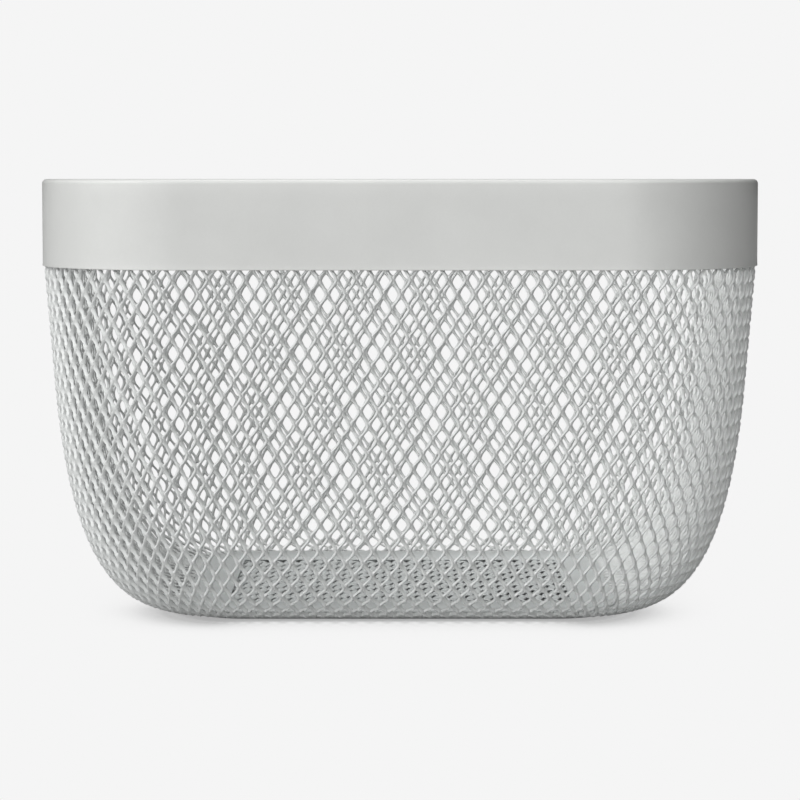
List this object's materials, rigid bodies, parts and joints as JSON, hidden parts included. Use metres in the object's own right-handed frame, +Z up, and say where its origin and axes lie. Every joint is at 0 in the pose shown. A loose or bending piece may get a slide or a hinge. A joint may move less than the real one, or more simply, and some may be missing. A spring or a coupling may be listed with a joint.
{
  "type": "wire locker basket",
  "caption": "Rectangular storage basket with round corners: expanded metal wall and floor, a plain folded rim band and a flat framed base, coated light grey.",
  "frame": {"origin": "middle of the base, on the surface that the basket stands on", "axes": "+Z up, +X along the width, +Y from the front to the back"},
  "size_m": [0.305, 0.236, 0.187],
  "materials": {
    "band_coat": "glossy light grey powder coat on folded sheet steel",
    "wall_mesh_coat": "glossy light grey powder coat on raised expanded metal",
    "floor_mesh_coat": "glossy light grey powder coat on expanded metal",
    "frame_coat": "satin light grey powder coat on flat sheet steel"
  },
  "bodies": {
    "root": {"rim_band": "band_coat", "wall_mesh": "wall_mesh_coat", "floor_mesh": "floor_mesh_coat", "upper_base_frame": "frame_coat", "lower_base_frame": "frame_coat"}
  },
  "joints": []
}
